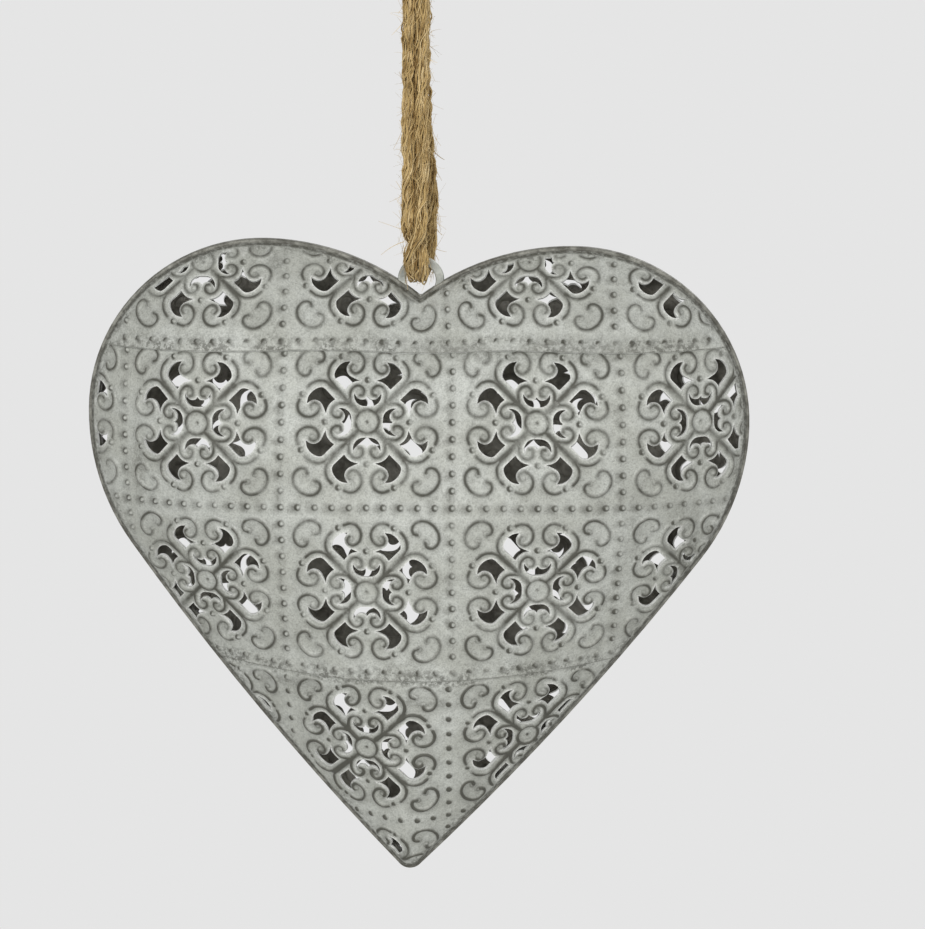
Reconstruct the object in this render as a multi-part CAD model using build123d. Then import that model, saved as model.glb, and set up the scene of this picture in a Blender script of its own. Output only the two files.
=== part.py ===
"""Puffed tin heart ornament: two pierced, domed shells of lapped strips, hung on a jute loop.

Millimetres. The origin is the point where a hook carries the loop, just under the cord's knot.
+Z is up, the front of the heart faces -Y, and +X is to the right as seen from the front.
"""
import math
import os

from build123d import *

# Heart outline, in its own plane, measured from the notch between the lobes
HALF_WIDTH = 59.6
LOBE_RADIUS = 31.5
LOBE_RISE = 9.8
SIDE_RADIUS = 41.6
SIDE_SWEEP = 36.0
TIP_DROP = 106.8
TIP_ROUND = 2.0

# Pressed dome of one shell: steep at the rim, nearly flat over the middle
DOME_HEIGHT = 16.5
DOME_SHOULDER = 47.0
DOME_POWER = 2.6
DOME_BLEND = 3.0
DOME_CENTRE_DROP = 45.0
DOME_GRID = 25
DOME_TOLERANCE = 0.05

# Tin sheet and the laps between the strips
SHEET = 0.5
LAP_GAP = 0.15
LAP_BELOW_BEADS = 1.8
LAP_ABOVE_BEADS = 1.5
CUT_REACH = 1.3
CUT_STEPS = 30

# Rim weld that closes the two shells
RIM_THICKNESS = 1.7
RIM_OUTSIDE = 0.6
RIM_INSIDE = 1.4
RIM_ROUND = 0.4
RIM_GAP = 0.2
WELD_BLOB = 1.3

# Pierced scroll medallions, one to a square tile of the sheet
TILE_PITCH = 30.85
FRONT_TILE = (-8.0, -19.8)
BACK_TILE = (6.1, -22.5)
FRONT_TURN = 1.3
BACK_TURN = 0.0
EDGE_LAND = 1.0
TILE_REACH = 3

# How far the tiles of the top, middle and bottom strips slipped when the strips were lapped
FRONT_SLIPS = ((-0.7, -0.7), (0.0, 0.0), (-0.8, -0.4))
BACK_SLIPS = ((-3.1, 0.0), (0.0, 0.0), (-0.2, 0.9))

# Hole outlines in half tiles from the middle of the tile, for the top left scroll of four.
# A petal has a tip by the outer scroll, a round back, a flank along the diagonal bar,
# a spur between the two scrolls, and a bite where the outer scroll curls in.
PETAL = (
    (-0.216, 0.711), (-0.325, 0.672), (-0.392, 0.587), (-0.388, 0.515), (-0.269, 0.377),
    (-0.208, 0.450), (-0.110, 0.482), (-0.215, 0.532), (-0.255, 0.622),
)
# The hole above the central disc: a bowl with two curled corners and a cusp between them
BOWL = (
    (0.0, 0.188), (-0.098, 0.204), (-0.160, 0.296), (-0.128, 0.318), (-0.092, 0.252),
    (0.0, 0.262), (0.092, 0.252), (0.128, 0.318), (0.160, 0.296), (0.098, 0.204),
)

# Hanging eye, a flat ring welded into the notch
CORD_DIAMETER = 4.6
EYE_CLEARANCE = 0.4
EYE_BAND = 1.5
EYE_THICKNESS = 1.2
EYE_LIFT = 0.9
EYE_EDGE = 0.25
EYE_SEAT_GAP = 0.05

# Jute loop and the knot that ties its ends
CORD_DROP = 54.0
BIGHT_CLEARANCE = 0.7
KNOT_LIP = 0.15
KNOT_BULGE = 0.8
KNOT_HEIGHT = 11.0
TAIL_LENGTH = 13.0
TAIL_SPLAY = 14.0

# Sizes that follow from the ones above
CORD_RADIUS = CORD_DIAMETER / 2
EYE_BORE_RADIUS = CORD_RADIUS + EYE_CLEARANCE
EYE_RADIUS = EYE_BORE_RADIUS + EYE_BAND
EYE_RISE = EYE_BORE_RADIUS + EYE_LIFT
BIGHT_RADIUS = CORD_RADIUS + EYE_THICKNESS / 2 + BIGHT_CLEARANCE
NOTCH_DROP = CORD_DROP + EYE_RISE
RIM_LEVEL = RIM_THICKNESS / 2 + RIM_GAP
HALF_TILE = TILE_PITCH / 2

# Working planes at the notch: x to the right as seen from outside, y up, z out of the shell
FRONT = Plane((0, 0, -NOTCH_DROP), x_dir=(1, 0, 0), z_dir=(0, -1, 0))
BACK = Plane((0, 0, -NOTCH_DROP), x_dir=(-1, 0, 0), z_dir=(0, 1, 0))


def half_outline():
    """Right half of the heart, from the notch over the lobe and down the flank to the tip."""
    lobe = (HALF_WIDTH - LOBE_RADIUS, LOBE_RISE - LOBE_RADIUS)
    top = (lobe[0], LOBE_RISE)
    notch_radius = (top[0] ** 2 + top[1] ** 2) / (2 * LOBE_RISE)
    notch_slope = math.degrees(math.asin(top[0] / notch_radius))
    notch_arc = CenterArc((top[0], top[1] - notch_radius), notch_radius, 90 + notch_slope, -notch_slope)
    lobe_arc = CenterArc(lobe, LOBE_RADIUS, 90, -90)
    side_arc = CenterArc((HALF_WIDTH - SIDE_RADIUS, lobe[1]), SIDE_RADIUS, 0, -SIDE_SWEEP)
    flank = TangentArc(side_arc @ 1, (0, -TIP_DROP), tangent=side_arc % 1)
    return [notch_arc, lobe_arc, side_arc, flank]


def heart_face():
    """The whole outline as a flat face, with its tip rounded."""
    right = half_outline()
    left = [edge.mirror(Plane.YZ) for edge in right]
    face = make_face(right + left).face()
    tip = face.vertices().sort_by(Axis.Y)[0]
    return face.fillet_2d(TIP_ROUND, [tip])


HEART = heart_face()
OUTLINE = [HEART.outer_wire().position_at(step / 360) for step in range(360)]
RIGHT_SIDE = [(p.X, p.Y) for p in OUTLINE if p.X >= 0]
LEFT_SIDE = [(p.X, p.Y) for p in OUTLINE if p.X <= 0]


def is_inside(x, y):
    """Even-odd test of a point against the outline."""
    inside = False
    for a, b in zip(OUTLINE, OUTLINE[1:] + OUTLINE[:1]):
        if (a.Y > y) != (b.Y > y) and x < a.X + (b.X - a.X) * (y - a.Y) / (b.Y - a.Y):
            inside = not inside
    return inside


def rim_distance(x, y):
    """Distance in from the rim, blended over the middle line; negative outside the heart."""
    to_right = min(math.hypot(x - px, y - py) for px, py in RIGHT_SIDE)
    to_left = min(math.hypot(x - px, y - py) for px, py in LEFT_SIDE)
    if min(to_right, to_left) < 1e-6:
        return 0.0
    if not is_inside(x, y):
        return -min(to_right, to_left)
    return (to_right ** -DOME_BLEND + to_left ** -DOME_BLEND) ** (-1 / DOME_BLEND)


def dome_rise(x, y):
    """Height of the dome above its rim."""
    distance = rim_distance(x, y)
    if distance < 0:
        return DOME_HEIGHT * DOME_POWER / DOME_SHOULDER * distance
    return DOME_HEIGHT * (1 - (1 - min(distance / DOME_SHOULDER, 1)) ** DOME_POWER)


def spread(low, high):
    """Evenly spaced values for the dome's grid."""
    return [low + (high - low) * step / (DOME_GRID - 1) for step in range(DOME_GRID)]


GRID_MARGIN = 4.0
SETTLE_STEPS = 14
GRID_X = spread(-HALF_WIDTH - GRID_MARGIN, HALF_WIDTH + GRID_MARGIN)
GRID_Y = spread(-TIP_DROP - GRID_MARGIN, LOBE_RISE + GRID_MARGIN)
DOME = [[(x, y, dome_rise(x, y)) for y in GRID_Y] for x in GRID_X]


def sheet_length(line):
    """Length of sheet from the start of a line over the dome to each of its points."""
    lengths = [0.0]
    for a, b in zip(line, line[1:]):
        lengths.append(lengths[-1] + math.dist(a, b))
    return lengths


SHEET_X = list(zip(*[sheet_length(line) for line in zip(*DOME)]))
SHEET_Y = [sheet_length(line) for line in DOME]


def blend(table, x, y):
    """Value of a table on the dome's grid, between its points."""
    across = (x - GRID_X[0]) / (GRID_X[1] - GRID_X[0])
    along = (y - GRID_Y[0]) / (GRID_Y[1] - GRID_Y[0])
    i = min(max(int(across), 0), DOME_GRID - 2)
    j = min(max(int(along), 0), DOME_GRID - 2)
    low = table[i][j] + (table[i + 1][j] - table[i][j]) * (across - i)
    high = table[i][j + 1] + (table[i + 1][j + 1] - table[i][j + 1]) * (across - i)
    return low + (high - low) * (along - j)


def on_dome(u, v, turn):
    """Where a point of the flat sheet lands, seen square on, once it is pressed over the dome."""
    angle = math.radians(turn)
    across = u * math.cos(angle) - (v + DOME_CENTRE_DROP) * math.sin(angle)
    along = u * math.sin(angle) + (v + DOME_CENTRE_DROP) * math.cos(angle)
    x, y = across, along - DOME_CENTRE_DROP
    for _ in range(SETTLE_STEPS):
        x += across - blend(SHEET_X, x, y) + blend(SHEET_X, 0, y)
        y += along - blend(SHEET_Y, x, y) + blend(SHEET_Y, x, -DOME_CENTRE_DROP)
    return x, y


def turned(point, quarter):
    """A point of the tile after some quarter turns."""
    x, y = point
    for _ in range(quarter):
        x, y = -y, x
    return x, y


def medallion():
    """The twelve holes of one tile: two petals and a bowl in each of four directions."""
    twin = tuple((-x, y) for x, y in PETAL)
    return [[turned(p, quarter) for p in hole] for quarter in range(4) for hole in (PETAL, twin, BOWL)]


def pierced_wires(tile, turn, rows):
    """Outlines of the holes in some rows of tiles, leaving out any that would break the rim."""
    wires = []
    for row in rows:
        for column in range(-TILE_REACH, TILE_REACH + 1):
            centre = (tile[0] + column * TILE_PITCH, tile[1] - row * TILE_PITCH)
            for hole in medallion():
                points = [on_dome(centre[0] + HALF_TILE * x, centre[1] + HALF_TILE * y, turn) for x, y in hole]
                if all(rim_distance(x, y) > EDGE_LAND for x, y in points):
                    wires.append(Wire.make_polygon([Vector(x, y) for x, y in points], close=True))
    return wires


def cut_line(level, turn):
    """A straight cut across the sheet, as it lies on the dome."""
    reach = HALF_WIDTH * CUT_REACH
    return [on_dome(reach * (2 * step / CUT_STEPS - 1), level, turn) for step in range(CUT_STEPS + 1)]


def strip(plane, tile, turn, rows, lap):
    """One strip of a shell: cut to the heart, pierced, domed and sprung out by lap at its lower edge."""
    upper = cut_line(tile[1] + HALF_TILE - rows[0] * TILE_PITCH + LAP_ABOVE_BEADS, turn)
    lower = cut_line(tile[1] - HALF_TILE - rows[-1] * TILE_PITCH - LAP_BELOW_BEADS, turn)
    band = Wire.make_polygon([Vector(x, y) for x, y in lower + upper[::-1]], close=True)
    blank = (HEART & Face(band)).face()
    pierced = Face(blank.outer_wire(), pierced_wires(tile, turn, rows))
    crest = min(max(y for x, y in upper), LOBE_RISE)
    foot = max(y for x, y in lower)
    spring = lap / (crest - foot)
    skin = Face.make_surface_from_array_of_points(
        [[Vector(x, y, z + RIM_LEVEL + spring * (crest - y)) for x, y, z in line] for line in DOME],
        tol=DOME_TOLERANCE,
    )
    depth = DOME_HEIGHT + TILE_PITCH
    die = Solid.extrude(pierced.moved(Location((0, 0, -depth))), Vector(0, 0, 2 * depth))
    domed = skin.intersect(die)[0]
    return plane.location * Solid.extrude(domed, Vector(0, 0, SHEET))


def shell(plane, tile, turn, slips):
    """Top strip of one tile row over a middle strip of two, over a bottom strip of the rest."""
    lap = SHEET + LAP_GAP
    top, middle, bottom = [(tile[0] + across, tile[1] + up) for across, up in slips]
    return {
        "top_strip": strip(plane, top, turn, (-1,), lap),
        "middle_strip": strip(plane, middle, turn, (0, 1), lap),
        "bottom_strip": strip(plane, bottom, turn, (2, 3), 0.0),
    }


def eye_disc(radius, thickness):
    """A disc about the eye's bore, in the middle plane of the heart."""
    return Pos(0, 0, -CORD_DROP) * Rot(90, 0, 0) * Cylinder(radius, thickness)


def hanging_eye():
    """Flat ring with softened edges."""
    ring = eye_disc(EYE_RADIUS, EYE_THICKNESS) - eye_disc(EYE_BORE_RADIUS, EYE_THICKNESS)
    return fillet(ring.edges().filter_by(GeomType.CIRCLE), EYE_EDGE)


def grown_heart(distance):
    """The flat heart moved out by a distance, with an outline of plain arcs."""
    edges = offset(HEART, distance, kind=Kind.ARC).face().outer_wire().edges()
    return make_face([ThreePointArc(edge @ 0, edge @ 0.5, edge @ 1) for edge in edges]).face()


def rim_weld():
    """Bead round the heart between the two shells, with a blob each side of the eye and a slot for it."""
    outer = grown_heart(RIM_OUTSIDE)
    inner = grown_heart(-RIM_INSIDE)
    bead = extrude(outer, RIM_THICKNESS / 2, both=True)
    crown = bead.edges().filter_by(Plane.XY)
    bead = fillet(crown, RIM_ROUND) - extrude(inner, RIM_THICKNESS, both=True)
    blob_x = math.sqrt(EYE_RADIUS ** 2 - (EYE_RISE - EYE_LIFT) ** 2)
    slab = extrude(outer.moved(Location((0, EYE_RISE, 0))), RIM_THICKNESS / 2, both=True)
    for side in (-1, 1):
        bead += Pos(side * blob_x, EYE_LIFT + RIM_OUTSIDE, 0) * Sphere(WELD_BLOB) & slab
    placed = FRONT.location * bead
    return placed - eye_disc(EYE_RADIUS + EYE_SEAT_GAP, EYE_THICKNESS + 2 * EYE_SEAT_GAP)


def jute_cord():
    """The loop: down from the knot, through the eye round its upper bar, and up again behind."""
    turn_level = BIGHT_RADIUS - CORD_DROP
    front_top = (0, -BIGHT_RADIUS, 0)
    front_low = (0, -BIGHT_RADIUS, turn_level)
    bight = (0, 0, -CORD_DROP)
    back_low = (0, BIGHT_RADIUS, turn_level)
    back_top = (0, BIGHT_RADIUS, 0)
    path = Wire([Line(front_top, front_low), ThreePointArc(front_low, bight, back_low), Line(back_low, back_top)])
    section = Plane(front_top, z_dir=(0, 0, -1)) * Circle(CORD_RADIUS)
    cord = sweep(section, path)
    tube = math.pi * CORD_RADIUS ** 2 * path.length
    print(f"cord length {path.length:.1f}, bight radius {BIGHT_RADIUS:.2f}, volume ratio {cord.volume / tube:.4f}")
    return cord


def cord_knot():
    """Overhand knot as a barrel with a flat underside, and the two cut ends that stand out of it."""
    foot = BIGHT_RADIUS + CORD_RADIUS + KNOT_LIP
    belly = foot + KNOT_BULGE
    side = ThreePointArc((foot, 0), (belly, KNOT_HEIGHT / 2), (foot - KNOT_BULGE, KNOT_HEIGHT))
    profile = make_face([
        Line((0, 0), (foot, 0)), side, Line(side @ 1, (0, KNOT_HEIGHT)), Line((0, KNOT_HEIGHT), (0, 0)),
    ])
    knot = revolve(Plane.XZ * profile, Axis.Z)
    for side in (-1, 1):
        tail = Cylinder(CORD_RADIUS, TAIL_LENGTH, align=(Align.CENTER, Align.CENTER, Align.MIN))
        lean = Pos(0, side * (CORD_RADIUS + KNOT_LIP), KNOT_HEIGHT - CORD_RADIUS) * Rot(-side * TAIL_SPLAY, 0, 0)
        knot += lean * tail
    return knot


def build():
    """All sub-parts by node name."""
    parts = {f"front_{name}": solid for name, solid in shell(FRONT, FRONT_TILE, FRONT_TURN, FRONT_SLIPS).items()}
    parts.update({f"back_{name}": solid for name, solid in shell(BACK, BACK_TILE, BACK_TURN, BACK_SLIPS).items()})
    parts["rim_weld"] = rim_weld()
    parts["hanging_eye"] = hanging_eye()
    parts["jute_cord"] = jute_cord()
    parts["cord_knot"] = cord_knot()
    return parts


os.makedirs("parts", exist_ok=True)
for node, shape in build().items():
    export_step(shape, f"parts/{node}.step")
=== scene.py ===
import math

import bpy
import numpy as np
from mathutils import Matrix, Vector
from mathutils.geometry import delaunay_2d_cdt


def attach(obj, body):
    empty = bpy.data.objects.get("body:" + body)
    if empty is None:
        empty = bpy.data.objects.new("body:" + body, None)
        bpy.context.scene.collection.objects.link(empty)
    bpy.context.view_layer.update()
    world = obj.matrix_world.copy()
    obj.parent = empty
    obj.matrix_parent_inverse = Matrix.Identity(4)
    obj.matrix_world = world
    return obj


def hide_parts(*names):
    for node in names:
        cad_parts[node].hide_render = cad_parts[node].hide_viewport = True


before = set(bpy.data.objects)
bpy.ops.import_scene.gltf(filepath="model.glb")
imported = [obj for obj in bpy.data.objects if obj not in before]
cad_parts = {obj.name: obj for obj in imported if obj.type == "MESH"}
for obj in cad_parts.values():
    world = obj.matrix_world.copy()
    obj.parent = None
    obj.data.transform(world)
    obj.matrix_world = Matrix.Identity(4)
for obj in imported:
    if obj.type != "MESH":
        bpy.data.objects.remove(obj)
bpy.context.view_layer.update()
bpy.ops.object.select_all(action="DESELECT")
scene = bpy.context.scene
scene.view_settings.view_transform = "Standard"
mm = 0.001


# node helpers, for the world and the finishes
def newPaint(name):
    paint = bpy.data.materials.new(name)
    paint.use_nodes = True
    return paint.node_tree, paint.node_tree.nodes["Principled BSDF"]


def feed(tree, socket, value):
    if isinstance(value, (int, float, tuple)):
        socket.default_value = value
    else:
        tree.links.new(value, socket)


def addNoise(tree, scale, detail, rough, stretch=None):
    coords = tree.nodes.new("ShaderNodeTexCoord")
    noise = tree.nodes.new("ShaderNodeTexNoise")
    noise.inputs["Detail"].default_value = detail
    noise.inputs["Roughness"].default_value = rough
    feed(tree, noise.inputs["Scale"], scale)
    place = coords.outputs["Object"]
    if stretch:
        pull = tree.nodes.new("ShaderNodeMapping")
        pull.inputs["Scale"].default_value = stretch
        tree.links.new(place, pull.inputs["Vector"])
        place = pull.outputs["Vector"]
    tree.links.new(place, noise.inputs["Vector"])
    return noise.outputs["Fac"]


def addMath(tree, kind, *values):
    node = tree.nodes.new("ShaderNodeMath")
    node.operation = kind
    for socket, value in zip(node.inputs, values):
        feed(tree, socket, value)
    return node.outputs[0]


def addRange(tree, value, low, high, toLow=0.0, toHigh=1.0):
    node = tree.nodes.new("ShaderNodeMapRange")
    node.interpolation_type = "SMOOTHSTEP"
    for key, number in (("From Min", low), ("From Max", high), ("To Min", toLow), ("To Max", toHigh)):
        node.inputs[key].default_value = number
    tree.links.new(value, node.inputs["Value"])
    return node.outputs["Result"]


def addMix(tree, amount, a, b):
    node = tree.nodes.new("ShaderNodeMix")
    node.data_type = "RGBA"
    for index, value in ((0, amount), (6, a), (7, b)):
        feed(tree, node.inputs[index], value)
    return node.outputs[2]


def addAttribute(tree, name):
    node = tree.nodes.new("ShaderNodeAttribute")
    node.attribute_name = name
    return node.outputs["Fac"]


def addBump(tree, height, strength, distance):
    node = tree.nodes.new("ShaderNodeBump")
    node.inputs["Strength"].default_value = strength
    node.inputs["Distance"].default_value = distance
    tree.links.new(height, node.inputs["Height"])
    return node.outputs["Normal"]


def finishPiece(name, mesh, paints, angle):
    piece = bpy.data.objects.new(name, mesh)
    scene.collection.objects.link(piece)
    for paint in paints:
        mesh.materials.append(bpy.data.materials[paint])
    bpy.ops.object.select_all(action="DESELECT")
    bpy.context.view_layer.objects.active = piece
    piece.select_set(True)
    bpy.ops.object.shade_smooth_by_angle(angle=math.radians(angle))
    return piece


# camera: a long lens, a little above the heart and rolled to the photo's lean
view = dict(azimuth=2.8, elevation=11.9, roll=1.09, distance=900.0, mmPerPixel=0.183,
            aimDrop=102.6, aimPixel=(416.0, 542.0), imageSize=(925, 929), sensor=36.0)


def makeCamera(spec):
    az, el, roll = (math.radians(spec[k]) for k in ("azimuth", "elevation", "roll"))
    forward = Vector((-math.sin(az) * math.cos(el), math.cos(az) * math.cos(el), -math.sin(el)))
    right = Vector((math.cos(az), math.sin(az), 0))
    up = right.cross(forward)
    across = right * math.cos(roll) + up * math.sin(roll)
    upright = up * math.cos(roll) - right * math.sin(roll)
    aim = Vector((0, 0, -spec["aimDrop"]))
    eye = aim - forward * spec["distance"]
    # the heart sits left of and below the middle of the picture, so look a little past it
    width, height = spec["imageSize"]
    offX = (width / 2 - spec["aimPixel"][0]) * spec["mmPerPixel"]
    offY = (spec["aimPixel"][1] - height / 2) * spec["mmPerPixel"]
    look = (aim + across * offX + upright * offY - eye).normalized()
    across = (across - look * across.dot(look)).normalized()
    upright = across.cross(look)
    bpy.ops.object.camera_add()
    cam = bpy.context.object
    cam.name = "photoCamera"
    turn = Matrix((across, upright, -look)).transposed().to_4x4()
    cam.matrix_world = Matrix.Translation(eye * mm) @ turn
    cam.data.sensor_fit = "HORIZONTAL"
    cam.data.sensor_width = spec["sensor"]
    cam.data.lens = spec["sensor"] * spec["distance"] / spec["mmPerPixel"] / width
    cam.data.clip_start = 0.01
    cam.data.clip_end = 20.0
    scene.camera = cam


makeCamera(view)
print("camera set")

# soft light from the front and above, pale backdrop, floor well below the tip
studio = dict(backdrop=0.784, roomLight=0.34, aim=(0, 0, -0.1),
              floorDrop=0.34, floorSize=1.0, paper=(0.82, 0.82, 0.81, 1),
              key=dict(place=(-0.40, -1.20, 0.36), size=.7, power=10.5),
              fill=dict(place=(0.75, -0.95, 0.22), size=.55, power=4.2),
              back=dict(place=(0.60, 1.05, 0.55), size=.8, power=5.0))


def makeStudio(spec):
    world = bpy.data.worlds.new("studioWorld")
    scene.world = world
    world.use_nodes = True
    tree = world.node_tree
    tree.nodes.clear()
    out = tree.nodes.new("ShaderNodeOutputWorld")
    # the backdrop is brighter to the camera than the light it gives
    ray = tree.nodes.new("ShaderNodeLightPath")
    seen = addMath(tree, "MAXIMUM", ray.outputs["Is Camera Ray"], ray.outputs["Is Glossy Ray"])
    seen = addMath(tree, "MAXIMUM", seen, ray.outputs["Is Transmission Ray"])
    level = tree.nodes.new("ShaderNodeMapRange")
    level.inputs["To Min"].default_value = spec["roomLight"]
    level.inputs["To Max"].default_value = spec["backdrop"]
    tree.links.new(seen, level.inputs["Value"])
    sky = tree.nodes.new("ShaderNodeBackground")
    sky.inputs["Color"].default_value = (1, 1, 1, 1)
    tree.links.new(level.outputs["Result"], sky.inputs["Strength"])
    tree.links.new(sky.outputs[0], out.inputs["Surface"])
    for name in ("key", "fill", "back"):
        lamp = spec[name]
        bpy.ops.object.light_add(type="AREA", location=lamp["place"])
        light = bpy.context.object
        light.name = name + "Light"
        light.data.size = lamp["size"]
        light.data.energy = lamp["power"]
        aim = Vector(spec["aim"]) - Vector(lamp["place"])
        light.rotation_euler = aim.to_track_quat("-Z", "Y").to_euler()
    bpy.ops.mesh.primitive_grid_add(x_subdivisions=4, y_subdivisions=4, size=spec["floorSize"],
                                    location=(0, 0, -spec["floorDrop"]))
    floor = bpy.context.object
    floor.name = "paleFloor"
    _, shader = newPaint("palePaper")
    shader.inputs["Base Color"].default_value = spec["paper"]
    shader.inputs["Roughness"].default_value = 0.9
    floor.data.materials.append(bpy.data.materials["palePaper"])


makeStudio(studio)
print("studio set")

# heart outline and dome, in mm from the notch, as the solids have them
heart = dict(halfWidth=59.6, lobeRadius=31.5, lobeRise=9.8, sideRadius=41.6, sideSweep=36.0,
             tipDrop=106.8, tipRound=2.0, notchDrop=57.6, rimStep=.35)
dome = dict(height=16.5, shoulder=47.0, power=2.6, blend=3.0, centreDrop=45.0, rimLevel=1.05, rimGap=0.2)
tin = dict(pitch=30.85, thickness=0.5, lapGap=0.15, lapBelow=1.8, lapAbove=1.5, rimLand=0.9, reach=77.5,
           cutStep=.4, edgeStep=.38, clear=.22, mostOutside=.75, smallestHole=.9, rimPress=3, waveHigh=.05,
           front=dict(tile=(-8.0, -19.8), turn=1.3, slips=((-.7, -.7), (0, 0), (-.8, -.4))),
           back=dict(tile=(6.1, -22.5), turn=0.0, slips=((-3.1, 0), (0, 0), (-.2, .9))))


def arcPoints(cx, cy, radius, start, stop, count=40):
    a = np.radians(np.linspace(start, stop, count))
    return np.c_[cx + radius * np.cos(a), cy + radius * np.sin(a)]


def evenSteps(points, step, closed=False):
    pts = np.vstack([points, points[:1]]) if closed else np.asarray(points)
    along = np.r_[0, np.cumsum(np.linalg.norm(np.diff(pts, axis=0), axis=1))]
    count = max(2, int(round(along[-1] / step)) + 1)
    at = np.linspace(0, along[-1], count)
    out = np.c_[tuple(np.interp(at, along, pts[:, k]) for k in range(pts.shape[1]))]
    return out[:-1] if closed else out


def heartOutline(spec):
    lobeX, lobeY = spec["halfWidth"] - spec["lobeRadius"], spec["lobeRise"] - spec["lobeRadius"]
    notchRadius = (lobeX ** 2 + spec["lobeRise"] ** 2) / (2 * spec["lobeRise"])
    slope = math.degrees(math.asin(lobeX / notchRadius))
    notch = arcPoints(lobeX, spec["lobeRise"] - notchRadius, notchRadius, 90 + slope, 90)
    lobe = arcPoints(lobeX, lobeY, spec["lobeRadius"], 90, 0)
    sideX = spec["halfWidth"] - spec["sideRadius"]
    side = arcPoints(sideX, lobeY, spec["sideRadius"], 0, -spec["sideSweep"])
    start, tip = side[-1], np.array((0, -spec["tipDrop"]))
    sweep = math.radians(spec["sideSweep"])
    normal = np.array((math.cos(sweep), -math.sin(sweep)))
    reach = tip - start
    radius = reach @ reach / (2 * reach @ normal)
    centre = start + normal * radius
    a0 = math.atan2(*(start - centre)[::-1])
    a1 = math.atan2(*(tip - centre)[::-1])
    turn = (a1 - a0 + math.pi) % (2 * math.pi) - math.pi
    flank = arcPoints(*centre, abs(radius), math.degrees(a0), math.degrees(a0 + turn), 200)
    # round the tip with a small circle that touches both flanks
    low, high = -spec["tipDrop"], -spec["tipDrop"] + 4 * spec["tipRound"]
    for _ in range(40):
        middle = (low + high) / 2
        gap = np.hypot(flank[:, 0], flank[:, 1] - middle).min()
        low, high = (middle, high) if gap < spec["tipRound"] else (low, middle)
    touch = int(np.hypot(flank[:, 0], flank[:, 1] - low).argmin())
    lean = math.degrees(math.atan2(flank[touch, 1] - low, flank[touch, 0]))
    tipArc = arcPoints(0, low, spec["tipRound"], lean, -90, 8)
    right = np.vstack([notch, lobe[1:], side[1:], flank[1:touch], tipArc])
    left = right[::-1][1:-1] * (-1, 1)
    return evenSteps(np.vstack([right, left]), spec["rimStep"], closed=True)


outline = heartOutline(heart)
rightRim, leftRim = outline[outline[:, 0] >= 0], outline[outline[:, 0] <= 0]


def nearest(points, line):
    best = np.empty(len(points))
    index = np.empty(len(points), int)
    for i in range(0, len(points), 4000):
        part = points[i:i + 4000]
        gap = ((part[:, None] - line[None]) ** 2).sum(2)
        index[i:i + 4000] = gap.argmin(1)
        best[i:i + 4000] = np.sqrt(gap.min(1))
    return best, index


def isInside(points, loop):
    x, y = points[:, 0], points[:, 1]
    inside = np.zeros(len(points), bool)
    for a, b in zip(loop, np.roll(loop, -1, axis=0)):
        if a[1] != b[1]:
            crossing = a[0] + (b[0] - a[0]) * (y - a[1]) / (b[1] - a[1])
            inside ^= ((a[1] > y) != (b[1] > y)) & (x < crossing)
    return inside


# dome height, distance in from the rim and length of sheet over the dome, on a fine grid
gridStep = .5
gridX, gridY = np.arange(-66, 66.1, gridStep), np.arange(-112, 16.1, gridStep)


def makeGrid():
    spots = np.stack(np.meshgrid(gridX, gridY), -1).reshape(-1, 2)
    toRight, toLeft = (np.maximum(nearest(spots, rim)[0], 1e-4) for rim in (rightRim, leftRim))
    blended = (toRight ** -dome["blend"] + toLeft ** -dome["blend"]) ** (-1 / dome["blend"])
    rise = dome["height"] * (1 - (1 - np.minimum(blended / dome["shoulder"], 1)) ** dome["power"])
    gap = np.minimum(toRight, toLeft)
    inside = isInside(spots, outline)
    shape = len(gridY), len(gridX)
    rimSlope = -dome["height"] * dome["power"] / dome["shoulder"]
    rise = np.where(inside, rise, rimSlope * gap).reshape(shape)
    gap = np.where(inside, gap, -gap).reshape(shape)
    stepX = np.hypot(gridStep, np.diff(rise, axis=1, prepend=rise[:, :1]))
    stepY = np.hypot(gridStep, np.diff(rise, axis=0, prepend=rise[:1]))
    lengthX, lengthY = np.cumsum(stepX, axis=1), np.cumsum(stepY, axis=0)
    lengthX -= lengthX[:, np.abs(gridX).argmin()][:, None]
    lengthY -= lengthY[np.abs(gridY + dome["centreDrop"]).argmin()]
    slopeY, slopeX = np.gradient(rise, gridStep)
    return dict(rise=rise, gap=gap, lengthX=lengthX, lengthY=lengthY, slopeX=slopeX, slopeY=slopeY)


def sample(table, points, startX, startY, step):
    x, y = (points[:, 0] - startX) / step, (points[:, 1] - startY) / step
    i = np.clip(x.astype(int), 0, table.shape[1] - 2)
    j = np.clip(y.astype(int), 0, table.shape[0] - 2)
    s, t = x - i, y - j
    low = table[j, i] * (1 - s) + table[j, i + 1] * s
    high = table[j + 1, i] * (1 - s) + table[j + 1, i + 1] * s
    return low * (1 - t) + high * t


def onGrid(key, points):
    return sample(grid[key], points, gridX[0], gridY[0], gridStep)


grid = makeGrid()
print("dome measured")


def sheetToPlan(uv, turn):
    c, s = math.cos(math.radians(turn)), math.sin(math.radians(turn))
    u, v = uv[:, 0], uv[:, 1] + dome["centreDrop"]
    across, along = u * c - v * s, u * s + v * c
    # solved in small steps from a first guess
    x, y = across * .9, along * .9 - dome["centreDrop"]
    for _ in range(16):
        x = x + .9 * (across - onGrid("lengthX", np.c_[x, y]))
        y = y + .9 * (along - onGrid("lengthY", np.c_[x, y]))
    return np.c_[x, y]


def planToSheet(xy, turn):
    c, s = math.cos(math.radians(turn)), math.sin(math.radians(turn))
    across, along = onGrid("lengthX", xy), onGrid("lengthY", xy)
    return np.c_[across * c + along * s, -across * s + along * c - dome["centreDrop"]]


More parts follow.
